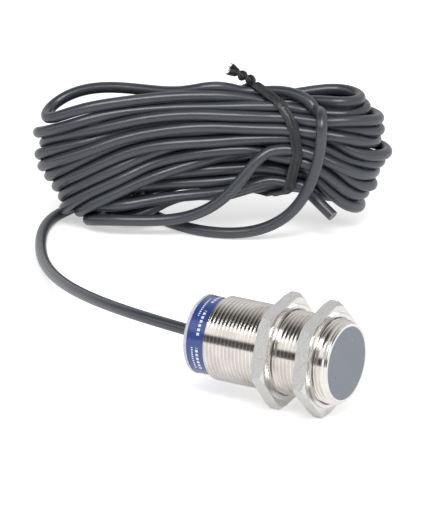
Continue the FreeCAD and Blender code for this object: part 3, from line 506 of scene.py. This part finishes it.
def smoother(angle):
    """Modifier nodes: join the patches of a CAD mesh and shade it smooth below an angle."""
    tree = bpy.data.node_groups.new(f"smooth_{angle}", "GeometryNodeTree")
    tree.interface.new_socket("Geometry", in_out="INPUT", socket_type="NodeSocketGeometry")
    tree.interface.new_socket("Geometry", in_out="OUTPUT", socket_type="NodeSocketGeometry")
    nodes = tree.nodes
    start = nodes.new("NodeGroupInput")
    end = nodes.new("NodeGroupOutput")
    weld = nodes.new("GeometryNodeMergeByDistance")
    weld.inputs["Distance"].default_value = WELD_GAP * MM
    edge = nodes.new("GeometryNodeInputMeshEdgeAngle")
    small = nodes.new("FunctionNodeCompare")
    small.data_type = "FLOAT"
    small.operation = "LESS_THAN"
    small.inputs[1].default_value = math.radians(angle)
    faces = nodes.new("GeometryNodeSetShadeSmooth")
    faces.domain = "FACE"
    edges = nodes.new("GeometryNodeSetShadeSmooth")
    edges.domain = "EDGE"
    link = tree.links.new
    link(start.outputs[0], weld.inputs["Geometry"])
    link(weld.outputs[0], faces.inputs["Geometry"])
    link(faces.outputs[0], edges.inputs["Geometry"])
    link(edge.outputs["Unsigned Angle"], small.inputs[0])
    link(small.outputs[0], edges.inputs["Shade Smooth"])
    link(edges.outputs[0], end.inputs[0])
    return tree


def smooth_nodes():
    groups = {angle: smoother(angle) for angle in (SHARP_ANGLE, BAR_ANGLE)}
    for name, obj in NODES.items():
        step = obj.modifiers.new("smooth", "NODES")
        step.node_group = groups[BAR_ANGLE if name in ROUND_BARS else SHARP_ANGLE]


# ---------------------------------------------------------------- camera
# The camera looks along one direction: turned about Z, then raised. The aim point is given in
# the picture's own right and up directions from the origin of the frame.
CAMERA_TURN = math.radians(30.97)
CAMERA_RISE = math.radians(19.8)
CAMERA_FAR = 2500.0
AIM_RIGHT = -43.8
AIM_UP = 38.2
CAMERA_SENSOR = 36.0
CAMERA_LENS = 513.6
CLIP_NEAR_M = 0.1
CLIP_FAR_M = 100.0


def view_axes():
    """The picture's right and up directions, and the way back to the camera."""
    ca, sa = math.cos(CAMERA_TURN), math.sin(CAMERA_TURN)
    ce, se = math.cos(CAMERA_RISE), math.sin(CAMERA_RISE)
    right = Vector((ca, sa, 0.0))
    up = Vector((-sa * se, ca * se, ce))
    back = Vector((sa * ce, -ca * ce, se))
    return right, up, back


def make_camera():
    right, up, back = view_axes()
    data = bpy.data.cameras.new("camera")
    obj = bpy.data.objects.new("camera", data)
    SCENE.collection.objects.link(obj)
    place = (right * AIM_RIGHT + up * AIM_UP + back * CAMERA_FAR) * MM
    turn = Matrix((right, up, back)).transposed().to_4x4()
    obj.matrix_world = Matrix.Translation(place) @ turn
    data.sensor_width = CAMERA_SENSOR
    data.lens = CAMERA_LENS
    data.clip_start = CLIP_NEAR_M
    data.clip_end = CLIP_FAR_M
    SCENE.camera = obj


# ---------------------------------------------------------------- floor, studio and lights
FLOOR_DROP = -20.05
FLOOR_HALF_M = 6.0
FLOOR_GLOW = 0.5
FLOOR_GLOW_LOST_IN_MIRRORS = 0.28


def make_floor():
    """White paper sweep, glowing a little, so that it runs into the white background."""
    mesh = bpy.data.meshes.new("floor")
    half = FLOOR_HALF_M
    low = FLOOR_DROP * MM
    ring = [(-half, -half, low), (half, -half, low), (half, half, low), (-half, half, low)]
    mesh.from_pydata(ring, [], [(0, 1, 2, 3)])
    obj = bpy.data.objects.new("floor", mesh)
    SCENE.collection.objects.link(obj)
    mat, g = material("floor_paper")
    at = g.place()
    color = g.mix(g.noise(at, 0.02, 3.0), (0.80, 0.80, 0.80), (0.82, 0.82, 0.82))
    path = g.new("ShaderNodeLightPath")
    lost = g.times(path.outputs["Is Glossy Ray"], FLOOR_GLOW_LOST_IN_MIRRORS)
    glow = g.math("SUBTRACT", FLOOR_GLOW, lost)
    g.surface(color=color, rough=0.9, shine=0.1, glow=glow, glow_color=(1.0, 1.0, 1.0))
    mesh.materials.append(mat)


# What shiny surfaces mirror, as (angle in degrees, brightness) round the X axis: 0 is level
# towards -Y, the viewer's side, and 90 is straight up. Reflections off the barrel leave towards
# -X and meet a bright strip between dark flags. Reflections off the coil leave towards +X and
# meet a more even room. ROOM_CHANGE is where one gives way to the other, as x + 0.5.
SENSOR_ROOM = [(-179, 0.75), (-60, 0.80), (-2, 0.85), (2, 0.10), (19, 0.05), (27, 1.3), (52, 1.4),
               (61, 0.06), (92, 0.05), (112, 0.35), (131, 0.75), (179, 0.75)]
COIL_ROOM = [(-179, 0.60), (-60, 0.70), (-2, 0.75), (4, 0.30), (36, 0.40), (46, 0.60), (66, 0.70),
             (78, 0.70), (120, 0.60), (150, 0.75), (165, 0.75), (179, 0.6)]
ROOM_CHANGE = (0.28, 0.58)
ROOM_LIGHT = 0.62


def room_ramp(g, share, stops):
    return g.ramp(share, [(degrees / 360.0 + 0.5, tone) for degrees, tone in stops])


def make_world():
    """White studio: one tone for the background, one to light by, and strips to mirror."""
    world = bpy.data.worlds.new("studio")
    SCENE.world = world
    world.use_nodes = True
    g = Graph(world.node_tree)
    way = g.add("ShaderNodeTexCoord", out="Generated")
    x, y, z = g.split(way)
    turn = g.math("ARCTAN2", z, g.times(y, -1.0))
    share = g.math("ADD", g.math("DIVIDE", turn, 2.0 * math.pi), 0.5)
    along = g.fade(g.math("ADD", x, 0.5), *ROOM_CHANGE)
    strips = g.mix(along, room_ramp(g, share, SENSOR_ROOM), room_ramp(g, share, COIL_ROOM))
    path = g.new("ShaderNodeLightPath")
    seen = g.mix(path.outputs["Is Glossy Ray"], (ROOM_LIGHT, ROOM_LIGHT, ROOM_LIGHT), strips)
    seen = g.mix(path.outputs["Is Camera Ray"], seen, (1.0, 1.0, 1.0))
    back = g.new("ShaderNodeBackground")
    g.put(back.inputs["Color"], seen)
    back.inputs["Strength"].default_value = 1.0
    end = g.new("ShaderNodeOutputWorld")
    g.tree.links.new(back.outputs[0], end.inputs[0])


# Area lights, in metres and watts. The key hangs over the camera's side of the sensor.
KEY_RISE = math.radians(55.0)
KEY_FAR_M = 2.5
KEY_SIZE_M = (1.6, 0.95)
KEY_POWER = 36.0
FILL_PLACE_M = (1.9, 0.2, 1.2)
FILL_SIZE_M = (1.2, 1.2)
FILL_POWER = 7.0


def make_light(name, place, size, power, mirrored):
    """A rectangular light aimed at the origin of the frame."""
    data = bpy.data.lights.new(name, "AREA")
    data.shape = "RECTANGLE"
    data.size, data.size_y = size
    data.energy = power
    obj = bpy.data.objects.new(name, data)
    obj.location = place
    obj.rotation_euler = (-Vector(place)).to_track_quat("-Z", "Y").to_euler()
    obj.visible_camera = False
    obj.visible_glossy = mirrored
    SCENE.collection.objects.link(obj)


def light_scene():
    make_world()
    right, up, back = view_axes()
    level = Vector((back.x, back.y, 0.0)).normalized()
    high = Vector((0.0, 0.0, 1.0))
    key = (level * math.cos(KEY_RISE) + high * math.sin(KEY_RISE)) * KEY_FAR_M
    make_light("key", tuple(key), KEY_SIZE_M, KEY_POWER, True)
    make_light("fill", FILL_PLACE_M, FILL_SIZE_M, FILL_POWER, False)
    SCENE.view_settings.view_transform = "Standard"
    SCENE.view_settings.look = "None"


dress_nodes()
smooth_nodes()
make_floor()
light_scene()
make_camera()
